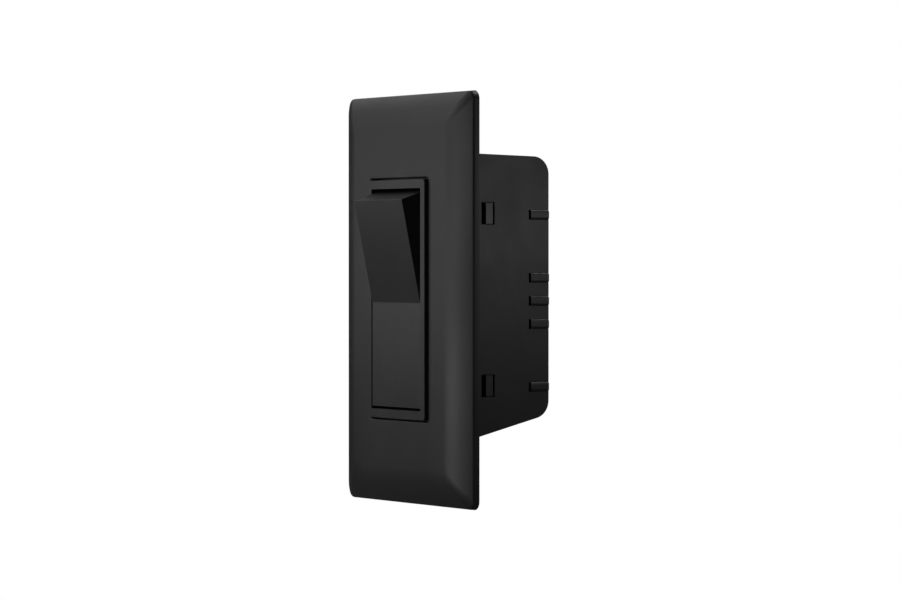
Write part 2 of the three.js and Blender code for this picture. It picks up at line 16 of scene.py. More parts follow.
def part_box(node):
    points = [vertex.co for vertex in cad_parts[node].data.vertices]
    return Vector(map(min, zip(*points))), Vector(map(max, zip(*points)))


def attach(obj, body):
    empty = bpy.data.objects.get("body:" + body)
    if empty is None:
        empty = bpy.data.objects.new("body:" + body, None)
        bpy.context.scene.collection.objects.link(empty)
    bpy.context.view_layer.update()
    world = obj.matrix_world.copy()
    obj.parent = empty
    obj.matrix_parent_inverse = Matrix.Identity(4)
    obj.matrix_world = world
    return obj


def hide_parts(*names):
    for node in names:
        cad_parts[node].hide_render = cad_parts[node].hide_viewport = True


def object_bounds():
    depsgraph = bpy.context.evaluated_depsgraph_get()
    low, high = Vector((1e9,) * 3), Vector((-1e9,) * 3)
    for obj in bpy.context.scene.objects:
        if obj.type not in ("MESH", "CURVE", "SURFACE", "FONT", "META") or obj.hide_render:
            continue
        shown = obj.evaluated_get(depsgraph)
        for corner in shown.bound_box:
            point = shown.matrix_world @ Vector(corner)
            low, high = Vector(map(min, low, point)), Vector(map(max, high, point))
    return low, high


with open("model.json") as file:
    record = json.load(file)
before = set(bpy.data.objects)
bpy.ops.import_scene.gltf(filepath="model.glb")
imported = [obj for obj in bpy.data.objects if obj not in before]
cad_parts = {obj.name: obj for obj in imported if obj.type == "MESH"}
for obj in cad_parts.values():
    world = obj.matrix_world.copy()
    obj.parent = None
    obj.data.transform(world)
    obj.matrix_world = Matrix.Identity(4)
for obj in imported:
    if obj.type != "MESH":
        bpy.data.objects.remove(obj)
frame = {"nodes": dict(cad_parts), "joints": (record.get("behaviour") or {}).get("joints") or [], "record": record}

bl_info = {
    "name": "Rocker Wall Switch",
    "version": (1, 0, 0),
    "blender": (4, 5, 0),
    "location": "3D View > Sidebar > Wall Switch",
    "description": "Builds the finished pieces, materials and stage of a self-contained rocker wall switch",
    "category": "Add Mesh",
}

CAD_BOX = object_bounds()
MM = 0.001
MAIN_BODY = "switch_body"
SHARP = 32


def node_box(node):
    """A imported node's lowest and highest corners, in millimetres."""
    low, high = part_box(node)
    return low / MM, high / MM


PLATE_HIGH = node_box("wall_plate")[1]
BOX_HIGH = node_box("rear_housing")[1]
COVER_HIGH = node_box("rear_cover")[1]


# ---- settings


class PlateSettings(bpy.types.PropertyGroup):
    """Sizes of the cover plate's finished surface."""

    rim_depth: bpy.props.FloatProperty(
        name="Rim Depth", description="Depth of the upright edge, in millimetres", default=1.3, min=0.5)
    rim_lean: bpy.props.FloatProperty(
        name="Rim Lean", description="How far the upright edge leans inwards, in millimetres", default=0.1)
    bevel_start: bpy.props.FloatProperty(
        name="Bevel Start", description="The bevel's start inside the outline, in millimetres", default=0.4)
    bevel_end: bpy.props.FloatProperty(
        name="Bevel End", description="Where the bevel has run out, in millimetres", default=10)
    bevel_front: bpy.props.FloatProperty(
        name="Bevel Front", description="Y of the bevel's start, in millimetres", default=-2.05)
    steep: bpy.props.FloatProperty(
        name="Steepest", description="The bevel's first angle", default=math.radians(36), subtype="ANGLE")
    shallow: bpy.props.FloatProperty(
        name="Shallowest", description="The bevel's last angle", default=math.radians(2), subtype="ANGLE")
    crown_front: bpy.props.FloatProperty(
        name="Crown Front", description="Y of the front at the opening, in millimetres", default=-5.5)
    wall: bpy.props.FloatProperty(name="Wall", description="Wall thickness, in millimetres", default=1.9)
    opening_width: bpy.props.FloatProperty(
        name="Opening Half Width", description="Half the opening's width, in millimetres", default=16.45)
    opening_height: bpy.props.FloatProperty(
        name="Opening Half Height", description="Half the opening's height, in millimetres", default=33.75)


class EdgeSettings(bpy.types.PropertyGroup):
    """How far each piece's edges are rounded, in millimetres."""

    moulded: bpy.props.FloatProperty(name="Moulded", description="Edges of the frame", default=0.22)
    rocker_ends: bpy.props.FloatProperty(
        name="Rocker Ends", description="Front edges of the rocker's ends", default=0.5)
    box: bpy.props.FloatProperty(name="Box", description="Edges of the wiring box", default=0.25)
    fine: bpy.props.FloatProperty(name="Fine", description="Edges of small inner mouldings", default=0.12)
    stamped: bpy.props.FloatProperty(name="Stamped", description="Edges of stamped strip", default=0.06)


class FinishSettings(bpy.types.PropertyGroup):
    """Colours and surface values of the finishes."""

    plate_colour: bpy.props.FloatVectorProperty(
        name="Plate Colour", description="Plate and frame", subtype="COLOR", default=(0.042, 0.042, 0.044))
    rocker_colour: bpy.props.FloatVectorProperty(
        name="Rocker Colour", description="Rocker", subtype="COLOR", default=(0.041, 0.041, 0.042))
    box_colour: bpy.props.FloatVectorProperty(
        name="Box Colour", description="Box and its cover", subtype="COLOR", default=(0.034, 0.034, 0.035))
    base_colour: bpy.props.FloatVectorProperty(
        name="Base Colour", description="Insulating base", subtype="COLOR", default=(0.075, 0.075, 0.08))
    grain_size: bpy.props.FloatProperty(
        name="Grain Size", description="Size of the moulded texture's grain", default=0.00035, unit="LENGTH")
    grain_depth: bpy.props.FloatProperty(
        name="Grain Depth", description="Depth of the moulded texture", default=0.000008, unit="LENGTH")


class ScrewSettings(bpy.types.PropertyGroup):
    """Sizes of the mounting screws, in millimetres."""

    pitch: bpy.props.FloatProperty(name="Pitch", description="Thread pitch", default=0.79375)
    core: bpy.props.FloatProperty(name="Core Radius", description="The thread's root", default=1.4)
    crest: bpy.props.FloatProperty(name="Crest Radius", description="The thread's crest", default=1.75)


class StageSettings(bpy.types.PropertyGroup):
    """The camera, the floor and the lights' powers."""

    camera_place: bpy.props.FloatVectorProperty(
        name="Camera Place", description="Where the camera stands", default=(0.9344, -0.5388, 0.0116),
        subtype="TRANSLATION", unit="LENGTH")
    camera_turn: bpy.props.FloatProperty(
        name="Camera Turn", description="The view's angle from straight on", default=math.radians(59.519),
        subtype="ANGLE")
    camera_dip: bpy.props.FloatProperty(
        name="Camera Dip", description="How far the camera looks down", default=math.radians(0.628),
        subtype="ANGLE")
    lens: bpy.props.FloatProperty(
        name="Lens", description="Focal length", default=154.4, subtype="DISTANCE_CAMERA")
    floor_drop: bpy.props.FloatProperty(
        name="Floor Drop", description="Distance from the plate's lowest edge to the floor", default=0.03,
        unit="LENGTH")
    key: bpy.props.FloatProperty(
        name="Key", description="Light from the upper left", default=0.2, unit="POWER")
    low: bpy.props.FloatProperty(
        name="Low", description="Light from the lower left", default=0.5, unit="POWER")
    left: bpy.props.FloatProperty(
        name="Left", description="High light at the left", default=0.21, unit="POWER")
    front: bpy.props.FloatProperty(
        name="Front", description="Light in front", default=0.26, unit="POWER")
    edge: bpy.props.FloatProperty(
        name="Edge", description="Light that catches the right bevel", default=0.11, unit="POWER")
    sheen: bpy.props.FloatProperty(
        name="Sheen", description="Small light reflected in the plate", default=0.018, unit="POWER")
    side: bpy.props.FloatProperty(
        name="Side", description="Small light reflected in the box's side", default=0.024, unit="POWER")
    rear: bpy.props.FloatProperty(
        name="Rear", description="High light behind the plate", default=0.7, unit="POWER")
    under: bpy.props.FloatProperty(
        name="Under", description="Light from below at the left", default=0.03, unit="POWER")


# ---- mesh helpers


def settings():
    """The scene's settings of this add-on."""
    return bpy.context.scene.wall_switch


def link(name, mesh, material=None):
    """An object at the origin that shows a mesh."""
    thing = bpy.data.objects.new(name, mesh)
    bpy.context.scene.collection.objects.link(thing)
    if material is not None:
        mesh.materials.clear()
        mesh.materials.append(material)
    return thing


def mesh_from(name, points, faces):
    """A mesh in metres from points in millimetres."""
    mesh = bpy.data.meshes.new(name)
    mesh.from_pydata([Vector(p) * MM for p in points], [], faces)
    mesh.validate()
    return mesh


def mesh_of(name, shape):
    """A plain mesh from an editable one, which is freed."""
    mesh = bpy.data.meshes.new(name)
    shape.to_mesh(mesh)
    shape.free()
    return mesh


def apply_modifiers(thing):
    """Replaces an object's modifiers by their result."""
    bpy.context.view_layer.update()
    graph = bpy.context.evaluated_depsgraph_get()
    mesh = bpy.data.meshes.new_from_object(
        thing.evaluated_get(graph), preserve_all_data_layers=True, depsgraph=graph)
    if not mesh.polygons:
        raise RuntimeError(f"{thing.name} has no faces")
    thing.modifiers.clear()
    old = thing.data
    thing.data = mesh
    bpy.data.meshes.remove(old)
    mesh.name = thing.name
    return thing


def shade(thing, sharp):
    """Shades a piece smooth except at edges sharper than an angle, with its flat faces kept flat."""
    mesh = thing.data
    mesh.polygons.foreach_set("use_smooth", [True] * len(mesh.polygons))
    mesh.set_sharp_from_angle(angle=math.radians(sharp))
    weigh = thing.modifiers.new("Flat Faces", "WEIGHTED_NORMAL")
    weigh.weight = 90
    weigh.keep_sharp = True
    return apply_modifiers(thing)


def place(thing, body, slot, *nodes):
    """Hangs a piece on the body that it rides on and hides the nodes that it stands for; slot, its finish, is not
    used.
    """
    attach(thing, body)
    if nodes:
        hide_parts(*nodes)
    return thing


def body_of_node(node):
    """The name of the body that holds a node."""
    bodies = frame["record"]["behaviour"]["bodies"]
    return next(body for body, nodes in bodies.items() if node in nodes)


def join_flat_faces(shape):
    """Joins the faces of an editable mesh that lie in one plane."""
    bmesh.ops.dissolve_limit(shape, angle_limit=math.radians(0.4), verts=shape.verts, edges=shape.edges)


def clean_copy(node):
    """A node's shape as an editable mesh, with its points merged and its flat faces whole."""
    shape = bmesh.new()
    shape.from_mesh(frame["nodes"][node].data)
    bmesh.ops.remove_doubles(shape, verts=shape.verts, dist=2e-6)
    join_flat_faces(shape)
    return shape


def rounded(name, shape, width, material, share=None, segments=3):
    """An object from an editable mesh, with its sharp edges rounded by a share of a width in millimetres.

    share, when given, gets an edge's middle and direction in millimetres and the angle between its faces, and
    returns the share, or None for the usual rule.
    """
    layer = shape.edges.layers.float.new("bevel_weight_edge")
    for edge in shape.edges:
        if len(edge.link_faces) == 2:
            turn = edge.calc_face_angle(0)
            a, b = (v.co / MM for v in edge.verts)
            part = share((a + b) / 2, (b - a).normalized(), turn) if share else None
            edge[layer] = part if part is not None else float(turn > math.radians(SHARP))
    thing = link(name, mesh_of(name, shape), material)
    bevel = thing.modifiers.new("Round Edges", "BEVEL")
    bevel.limit_method = "WEIGHT"
    bevel.width = width * MM
    bevel.segments = segments
    bevel.use_clamp_overlap = True
    bevel.loop_slide = True
    return shade(apply_modifiers(thing), SHARP + 10)


def softened(name, node, width, material, slot, share=None, segments=3):
    """A piece with a node's own shape and rounded edges, in that node's place."""
    thing = rounded(name, clean_copy(node), width, material, share, segments)
    return place(thing, body_of_node(node), slot, node)


def corner_loop(half_width, half_height, radius, y, steps=10, across=8, up=14):
    """Points round a rounded rectangle at one depth, evenly shared so that every loop has the same count."""
    points = []
    corners = ((1, 1), (-1, 1), (-1, -1), (1, -1))
    for quarter, (sx, sz) in enumerate(corners):
        cx = sx * (half_width - radius)
        cz = sz * (half_height - radius)
        for i in range(steps + 1):
            angle = (quarter + i / steps) * math.pi / 2
            points.append((cx + radius * math.cos(angle), y, cz + radius * math.sin(angle)))
        nx, nz = corners[(quarter + 1) % 4]
        start = points[-1]
        angle = (quarter + 1) * math.pi / 2
        end = (nx * (half_width - radius) + radius * math.cos(angle), y,
               nz * (half_height - radius) + radius * math.sin(angle))
        count = across if quarter % 2 == 0 else up
        points += [tuple(a + (b - a) * i / count for a, b in zip(start, end)) for i in range(1, count)]
    return points


def skin(loops, closed=False):
    """Faces between successive loops of points; closed joins the last loop to the first."""
    count = len(loops[0])
    points = [p for loop in loops for p in loop]
    faces = []
    for k in range(len(loops) if closed else len(loops) - 1):
        nxt = (k + 1) % len(loops)
        for i in range(count):
            j = (i + 1) % count
            faces.append((k * count + i, k * count + j, nxt * count + j, nxt * count + i))
    return points, faces


def solid_bmesh(points, faces):
    """An editable mesh in metres with its faces turned outwards."""
    mesh = mesh_from("scratch", points, faces)
    shape = bmesh.new()
    shape.from_mesh(mesh)
    bpy.data.meshes.remove(mesh)
    bmesh.ops.recalc_face_normals(shape, faces=shape.faces)
    return shape


def prism(outline, low, high, axis="Y"):
    """A prism's points and faces along Y or Z, from an outline in the two other axes."""
    points = [(a, c, b) if axis == "Y" else (a, b, c) for c in (low, high) for a, b in outline]
    n = len(outline)
    faces = [tuple(range(n - 1, -1, -1)), tuple(range(n, 2 * n))]
    faces += [(i, (i + 1) % n, n + (i + 1) % n, n + i) for i in range(n)]
    return points, faces


def box_prism(x, y, z):
    """A block's points and faces between three pairs of values."""
    return prism([(x[0], z[0]), (x[1], z[0]), (x[1], z[1]), (x[0], z[1])], y[0], y[1])


def turned(profile, sides=48, centre=(0, 0)):
    """A turned piece about a line along Y, from (radius, y) pairs that start and end on the axis."""
    cx, cz = centre
    ring = profile[1:-1]
    points = [(cx, profile[0][1], cz), (cx, profile[-1][1], cz)]
    for r, y in ring:
        points += [(cx + r * math.cos(2 * math.pi * i / sides), y, cz + r * math.sin(2 * math.pi * i / sides))
                   for i in range(sides)]
    faces = []
    for i in range(sides):
        j = (i + 1) % sides
        faces.append((0, 2 + i, 2 + j))
        last = 2 + (len(ring) - 1) * sides
        faces.append((1, last + j, last + i))
        for k in range(len(ring) - 1):
            a = 2 + k * sides
            faces.append((a + i, a + sides + i, a + sides + j, a + j))
    return points, faces


def boolean(thing, parts, operation):
    """Joins or cuts an object with each part given as points and faces, one after another."""
    for points, faces in parts:
        mesh = mesh_of("tool", solid_bmesh(points, faces))
        tool = link("tool", mesh)
        step = thing.modifiers.new("Join Or Cut", "BOOLEAN")
        step.operation = operation
        step.solver = "EXACT"
        step.object = tool
        apply_modifiers(thing)
        bpy.data.objects.remove(tool)
        bpy.data.meshes.remove(mesh)
    return thing


# ---- geometry trees

FLOAT = "NodeSocketFloat"
COUNT = "NodeSocketInt"
MATERIAL = "NodeSocketMaterial"


def wire(tree, *links):
    """Links nodes, with each link given as a node, its output, the next node and its input."""
    for start, output, end, entry in links:
        tree.links.new(start.outputs[output], end.inputs[entry])


def join(owner, *pairs):
    """Links pairs of sockets in the node tree of a material or world."""
    for start, end in pairs:
        owner.node_tree.links.new(start, end)


def set_inputs(node, values):
    """Sets a node's inputs; an underscore in an input's name stands for a space."""
    for label, value in values.items():
        node.inputs[label.replace("_", " ")].default_value = value


def add_node(tree, kind, **values):
    """Adds a node with values for its inputs."""
    node = tree.nodes.new(kind)
    set_inputs(node, values)
    return node


def new_tree(name, inputs):
    """A geometry tree with named inputs, given as name: (socket type, default)."""
    tree = bpy.data.node_groups.new(name, "GeometryNodeTree")
    tree.interface.new_socket(name="Geometry", in_out="INPUT", socket_type="NodeSocketGeometry")
    tree.interface.new_socket(name="Geometry", in_out="OUTPUT", socket_type="NodeSocketGeometry")
    for label, (kind, default) in inputs.items():
        socket = tree.interface.new_socket(name=label, in_out="INPUT", socket_type=kind)
        if default is not None:
            socket.default_value = default
    source = tree.nodes.new("NodeGroupInput")
    sink = tree.nodes.new("NodeGroupOutput")
    return tree, source, sink


def end_tree(tree, source, sink, last, output):
    """Ends a tree in Realize Instances and Set Material."""
    real = tree.nodes.new("GeometryNodeRealizeInstances")
    paint = tree.nodes.new("GeometryNodeSetMaterial")
    wire(tree, (last, output, real, "Geometry"), (real, "Geometry", paint, "Geometry"),
         (source, "Material", paint, "Material"), (paint, "Geometry", sink, "Geometry"))
    return tree


def coil_tree():
    """A round wire or a thread's ridge wound about the Y axis."""
    tree, source, sink = new_tree("Coil", {
        "Radius": (FLOAT, 0.0015), "Wire Radius": (FLOAT, 0.00028), "Length": (FLOAT, 0.0063),
        "Turns": (FLOAT, 6.0), "Steps": (COUNT, 48), "Sides": (COUNT, 12), "Material": (MATERIAL, None)})
    spiral = tree.nodes.new("GeometryNodeCurveSpiral")
    profile = tree.nodes.new("GeometryNodeCurvePrimitiveCircle")
    sweep = add_node(tree, "GeometryNodeCurveToMesh", Fill_Caps=True)
    lay_down = add_node(tree, "GeometryNodeTransform", Rotation=(-math.pi / 2, 0, 0))
    wire(tree, (source, "Steps", spiral, "Resolution"), (source, "Turns", spiral, "Rotations"),
         (source, "Radius", spiral, "Start Radius"), (source, "Radius", spiral, "End Radius"),
         (source, "Length", spiral, "Height"), (source, "Sides", profile, "Resolution"),
         (source, "Wire Radius", profile, "Radius"), (spiral, "Curve", sweep, "Curve"),
         (profile, "Curve", sweep, "Profile Curve"), (sweep, "Mesh", lay_down, "Geometry"))
    return end_tree(tree, source, sink, lay_down, "Geometry")


def bars_tree():
    """A bar with filleted corners, run along Y, on each of the given points."""
    tree, source, sink = new_tree("Bars On Points", {
        "Width": (FLOAT, 0.002), "Height": (FLOAT, 0.002), "Length": (FLOAT, 0.005),
        "Fillet": (FLOAT, 0.0009), "Fillet Steps": (COUNT, 8), "Material": (MATERIAL, None)})
    outline = tree.nodes.new("GeometryNodeCurvePrimitiveQuadrilateral")
    fillet = add_node(tree, "GeometryNodeFilletCurve", Limit_Radius=True)
    fillet.mode = "POLY"
    rail = tree.nodes.new("GeometryNodeCurvePrimitiveLine")
    reach = tree.nodes.new("ShaderNodeCombineXYZ")
    sweep = add_node(tree, "GeometryNodeCurveToMesh", Fill_Caps=True)
    copies = tree.nodes.new("GeometryNodeInstanceOnPoints")
    wire(tree, (source, "Width", outline, "Width"), (source, "Height", outline, "Height"),
         (outline, "Curve", fillet, "Curve"), (source, "Fillet", fillet, "Radius"),
         (source, "Fillet Steps", fillet, "Count"), (source, "Length", reach, "Y"),
         (reach, "Vector", rail, "End"), (rail, "Curve", sweep, "Curve"),
         (fillet, "Curve", sweep, "Profile Curve"), (source, "Geometry", copies, "Points"),
         (sweep, "Mesh", copies, "Instance"))
    return end_tree(tree, source, sink, copies, "Instances")


def discs_tree():
    """A low round disc facing along Y on each of the given points, as an ejector pin leaves."""
    tree, source, sink = new_tree("Discs On Points", {
        "Radius": (FLOAT, 0.0012), "Height": (FLOAT, 0.0001), "Material": (MATERIAL, None)})
    disc = add_node(tree, "GeometryNodeMeshCylinder", Vertices=28)
    copies = add_node(tree, "GeometryNodeInstanceOnPoints", Rotation=(math.pi / 2, 0, 0))
    wire(tree, (source, "Radius", disc, "Radius"), (source, "Height", disc, "Depth"),
         (source, "Geometry", copies, "Points"), (disc, "Mesh", copies, "Instance"))
    return end_tree(tree, source, sink, copies, "Instances")


def group_named(name):
    """A node group, built the first time that it is asked for."""
    makers = {"Coil": coil_tree, "Bars On Points": bars_tree, "Discs On Points": discs_tree,
              "Moulded Grain": grain_group, "Edge Rub": edge_highlight_group, "Rolled Streaks": streak_group}
    return bpy.data.node_groups.get(name) or makers[name]()


def grown(name, tree_name, points, values, width=0.0):
    """A plain mesh object that a geometry tree grows on points in millimetres; width rounds its edges."""
    thing = link(name, mesh_from(name, points, []))
    tree = group_named(tree_name)
    grow = thing.modifiers.new("Grow", "NODES")
    grow.node_group = tree
    for item in tree.interface.items_tree:
        if item.item_type == "SOCKET" and item.in_out == "INPUT" and item.name in values:
            grow[item.identifier] = values[item.name]
    if width:
        bevel = thing.modifiers.new("Round Edges", "BEVEL")
        bevel.width = width * MM
        bevel.segments = 2
        bevel.limit_method = "ANGLE"
        bevel.angle_limit = math.radians(50)
    apply_modifiers(thing)
    shape = bmesh.new()
    shape.from_mesh(thing.data)
    bmesh.ops.remove_doubles(shape, verts=shape.verts, dist=1e-7)
    bmesh.ops.recalc_face_normals(shape, faces=shape.faces)
    shape.to_mesh(thing.data)
    shape.free()
    return shade(thing, 40)


# ---- shader groups and finishes


def new_shader_group(name, inputs, outputs):
    """A shader node group with named inputs, given as name: (socket type, default), and named outputs."""
    group = bpy.data.node_groups.new(name, "ShaderNodeTree")
    for label, (kind, default) in inputs.items():
        group.interface.new_socket(name=label, in_out="INPUT", socket_type=kind).default_value = default
    for label, kind in outputs.items():
        group.interface.new_socket(name=label, in_out="OUTPUT", socket_type=kind)
    return group, group.nodes.new("NodeGroupInput"), group.nodes.new("NodeGroupOutput")


def grain_group():
    """Fine moulded texture: a height for bump, and a slow patchiness for gloss and tone."""
    group, source, sink = new_shader_group(
        "Moulded Grain", {"Grain Scale": (FLOAT, 2800.0), "Patch Scale": (FLOAT, 45.0)},
        {"Height": FLOAT, "Patches": FLOAT})
    here = group.nodes.new("ShaderNodeTexCoord")
    grain = add_node(group, "ShaderNodeTexNoise", Detail=3, Roughness=0.6)
    pits = group.nodes.new("ShaderNodeTexVoronoi")
    pits.feature = "SMOOTH_F1"
    mix = group.nodes.new("ShaderNodeMath")
    mix.operation = "MULTIPLY_ADD"
    mix.inputs[1].default_value = 0.5
    patches = add_node(group, "ShaderNodeTexNoise", Detail=4, Distortion=0.4)
    wire(group, (here, "Object", grain, "Vector"), (here, "Object", pits, "Vector"),
         (here, "Object", patches, "Vector"), (source, "Grain Scale", grain, "Scale"),
         (source, "Grain Scale", pits, "Scale"), (source, "Patch Scale", patches, "Scale"),
         (pits, "Distance", mix, 0), (grain, "Fac", mix, 2), (mix, "Value", sink, "Height"),
         (patches, "Fac", sink, "Patches"))
    return group


def edge_highlight_group():
    """A mask that is bright along outer edges and broken up by fine noise, for a painted highlight on those edges.
    """
    group, source, sink = new_shader_group(
        "Edge Rub", {"Start": (FLOAT, 0.53), "End": (FLOAT, 0.62)}, {"Mask": FLOAT})
    shape = group.nodes.new("ShaderNodeNewGeometry")
    ramp = group.nodes.new("ShaderNodeMapRange")
    ramp.interpolation_type = "SMOOTHSTEP"
    here = group.nodes.new("ShaderNodeTexCoord")
    breakup = add_node(group, "ShaderNodeTexNoise", Scale=900)
    times = group.nodes.new("ShaderNodeMath")
    times.operation = "MULTIPLY"
    wire(group, (shape, "Pointiness", ramp, "Value"), (source, "Start", ramp, "From Min"),
         (source, "End", ramp, "From Max"), (here, "Object", breakup, "Vector"), (ramp, "Result", times, 0),
         (breakup, "Fac", times, 1), (times, "Value", sink, "Mask"))
    return group


def streak_group():
    """Fine parallel lines left by rolling or drawing metal, as a height and a tone."""
    group, source, sink = new_shader_group(
        "Rolled Streaks", {"Stretch": ("NodeSocketVector", (400.0, 9000.0, 9000.0)),
                           "Stain Scale": (FLOAT, 260.0)},
        {"Height": FLOAT, "Stain": FLOAT})
    here = group.nodes.new("ShaderNodeTexCoord")
    scale = group.nodes.new("ShaderNodeVectorMath")
    scale.operation = "MULTIPLY"
    streaks = add_node(group, "ShaderNodeTexNoise", Scale=1, Detail=2)
    stain = add_node(group, "ShaderNodeTexNoise", Detail=5)
    wire(group, (here, "Object", scale, 0), (source, "Stretch", scale, 1),
         (scale, "Vector", streaks, "Vector"), (here, "Object", stain, "Vector"),
         (source, "Stain Scale", stain, "Scale"), (streaks, "Fac", sink, "Height"),
         (stain, "Fac", sink, "Stain"))
    return group


def group_node(material, name, **values):
    """Places a shared group in a material, with its own values."""
    node = material.node_tree.nodes.new("ShaderNodeGroup")
    node.node_tree = group_named(name)
    set_inputs(node, values)
    return node


def new_material(name):
    """A material with nodes, and its Principled shader."""
    material = bpy.data.materials.new(name)
    material.use_nodes = True
    return material, material.node_tree.nodes["Principled BSDF"]


def spread(material, source, low, high):
    """A value that runs from low to high as the source runs over the middle of noise."""
    ends = {"From_Min": 0.3, "From_Max": 0.7, "To_Min": low, "To_Max": high}
    node = add_node(material.node_tree, "ShaderNodeMapRange", **ends)
    join(material, (source, node.inputs["Value"]))
    return node.outputs["Result"]


def mixed(material, mask, first, second):
    """A colour that goes from first to second with a mask; each is a colour or a socket."""
    node = material.node_tree.nodes.new("ShaderNodeMix")
    node.data_type = "RGBA"
    join(material, (mask, node.inputs["Factor"]))
    for label, value in (("A", first), ("B", second)):
        socket = next(s for s in node.inputs if s.name == label and s.type == "RGBA")
        if isinstance(value, bpy.types.NodeSocket):
            join(material, (value, socket))
        else:
            socket.default_value = (*value, 1)
    return next(s for s in node.outputs if s.type == "RGBA")


def bump(material, shader, height, distance):
    """Bumps a shader's normal by a height."""
    node = add_node(material.node_tree, "ShaderNodeBump", Strength=1, Distance=distance)
    join(material, (height, node.inputs["Height"]), (node.outputs["Normal"], shader.inputs["Normal"]))


def show_camera(owner, seen, unseen, output):
    """Shows one shader to the camera and the other to the object, in a material or world."""
    nodes = owner.node_tree.nodes
    path = nodes.new("ShaderNodeLightPath")
    choose = nodes.new("ShaderNodeMixShader")
    join(owner, (path.outputs["Is Camera Ray"], choose.inputs["Fac"]), (unseen, choose.inputs[1]),
         (seen, choose.inputs[2]), (choose.outputs["Shader"], nodes[output].inputs["Surface"]))


def plastic(name, colour, gloss=(0.38, 0.46), patch_scale=45.0, drift=0.12, grain=1.0):
    """Moulded plastic: grained, a little uneven in tone and gloss, with a painted highlight that lightens its
    outer edges.
    """
    if name in bpy.data.materials:
        return bpy.data.materials[name]
    finish = settings().finish
    material, shader = new_material(name)
    grain_node = group_node(
        material, "Moulded Grain", Grain_Scale=1 / finish.grain_size, Patch_Scale=patch_scale)
    highlight_node = group_node(material, "Edge Rub")
    tone = mixed(material, spread(material, grain_node.outputs["Patches"], 0, 1),
                 [c * (1 - drift) for c in colour], [c * (1 + drift) for c in colour])
    # painted highlight: the colour of the outer edges is lightened where the edge mask is bright, to stand in for
    # light caught on them
    lighter = mixed(material, highlight_node.outputs["Mask"], tone, [c * 1.35 + 0.004 for c in colour])
    join(material, (lighter, shader.inputs["Base Color"]),
         (spread(material, grain_node.outputs["Patches"], *gloss), shader.inputs["Roughness"]))
    bump(material, shader, grain_node.outputs["Height"], finish.grain_depth * grain)
    return material


def metal(name, colour, stain, gloss=(0.28, 0.42), stretch=(400.0, 9000.0, 9000.0), depth=4e-6):
    """Rolled or plated metal, with fine streaks, faint stains and a painted highlight that brightens its outer
    edges.
    """
    if name in bpy.data.materials:
        return bpy.data.materials[name]
    material, shader = new_material(name)
    shader.inputs["Metallic"].default_value = 1
    streaks = group_node(material, "Rolled Streaks", Stretch=stretch)
    highlight_node = group_node(material, "Edge Rub")
    stained = mixed(material, spread(material, streaks.outputs["Stain"], 0, 1), colour, stain)
    # painted highlight: the colour of the outer edges is brightened where the edge mask is bright, to stand in for
    # light caught on them
    bright = mixed(material, highlight_node.outputs["Mask"], stained, [min(1, c * 1.25) for c in colour])
    join(material, (bright, shader.inputs["Base Color"]),
         (spread(material, streaks.outputs["Stain"], *gloss), shader.inputs["Roughness"]))
    bump(material, shader, streaks.outputs["Height"], depth)
    return material


def plate_plastic():
    return plastic("Plate Plastic", settings().finish.plate_colour)


def frame_plastic():
    return plastic("Frame Plastic", settings().finish.plate_colour, gloss=(0.36, 0.44))


def rocker_plastic():
    return plastic("Rocker Plastic", settings().finish.rocker_colour, gloss=(0.34, 0.4), grain=0.6)


def box_plastic():
    return plastic("Box Plastic", settings().finish.box_colour, gloss=(0.41, 0.47), patch_scale=70)


def base_plastic():
    colour = settings().finish.base_colour
    return plastic("Base Plastic", colour, gloss=(0.5, 0.62), patch_scale=120, drift=0.1)


def fibre():
    return plastic("Fibre", (0.16, 0.05, 0.03), gloss=(0.6, 0.75), patch_scale=700, drift=0.35, grain=2)


def brass():
    return metal("Brass Strip", (0.62, 0.41, 0.14), (0.5, 0.3, 0.1))


def copper():
    return metal("Copper Strip", (0.66, 0.3, 0.15), (0.5, 0.2, 0.1))


def silver():
    return metal("Contact Silver", (0.8, 0.79, 0.76), (0.62, 0.6, 0.56), gloss=(0.2, 0.3), depth=1e-6)


def spring_join():
    return metal("Spring Wire", (0.5, 0.5, 0.52), (0.42, 0.41, 0.41), gloss=(0.25, 0.35))


def zinc():
    colour, stain = (0.55, 0.56, 0.58), (0.5, 0.49, 0.44)
    return metal("Zinc Plate", colour, stain, gloss=(0.3, 0.45), stretch=(2500.0,) * 3)


# ---- operators


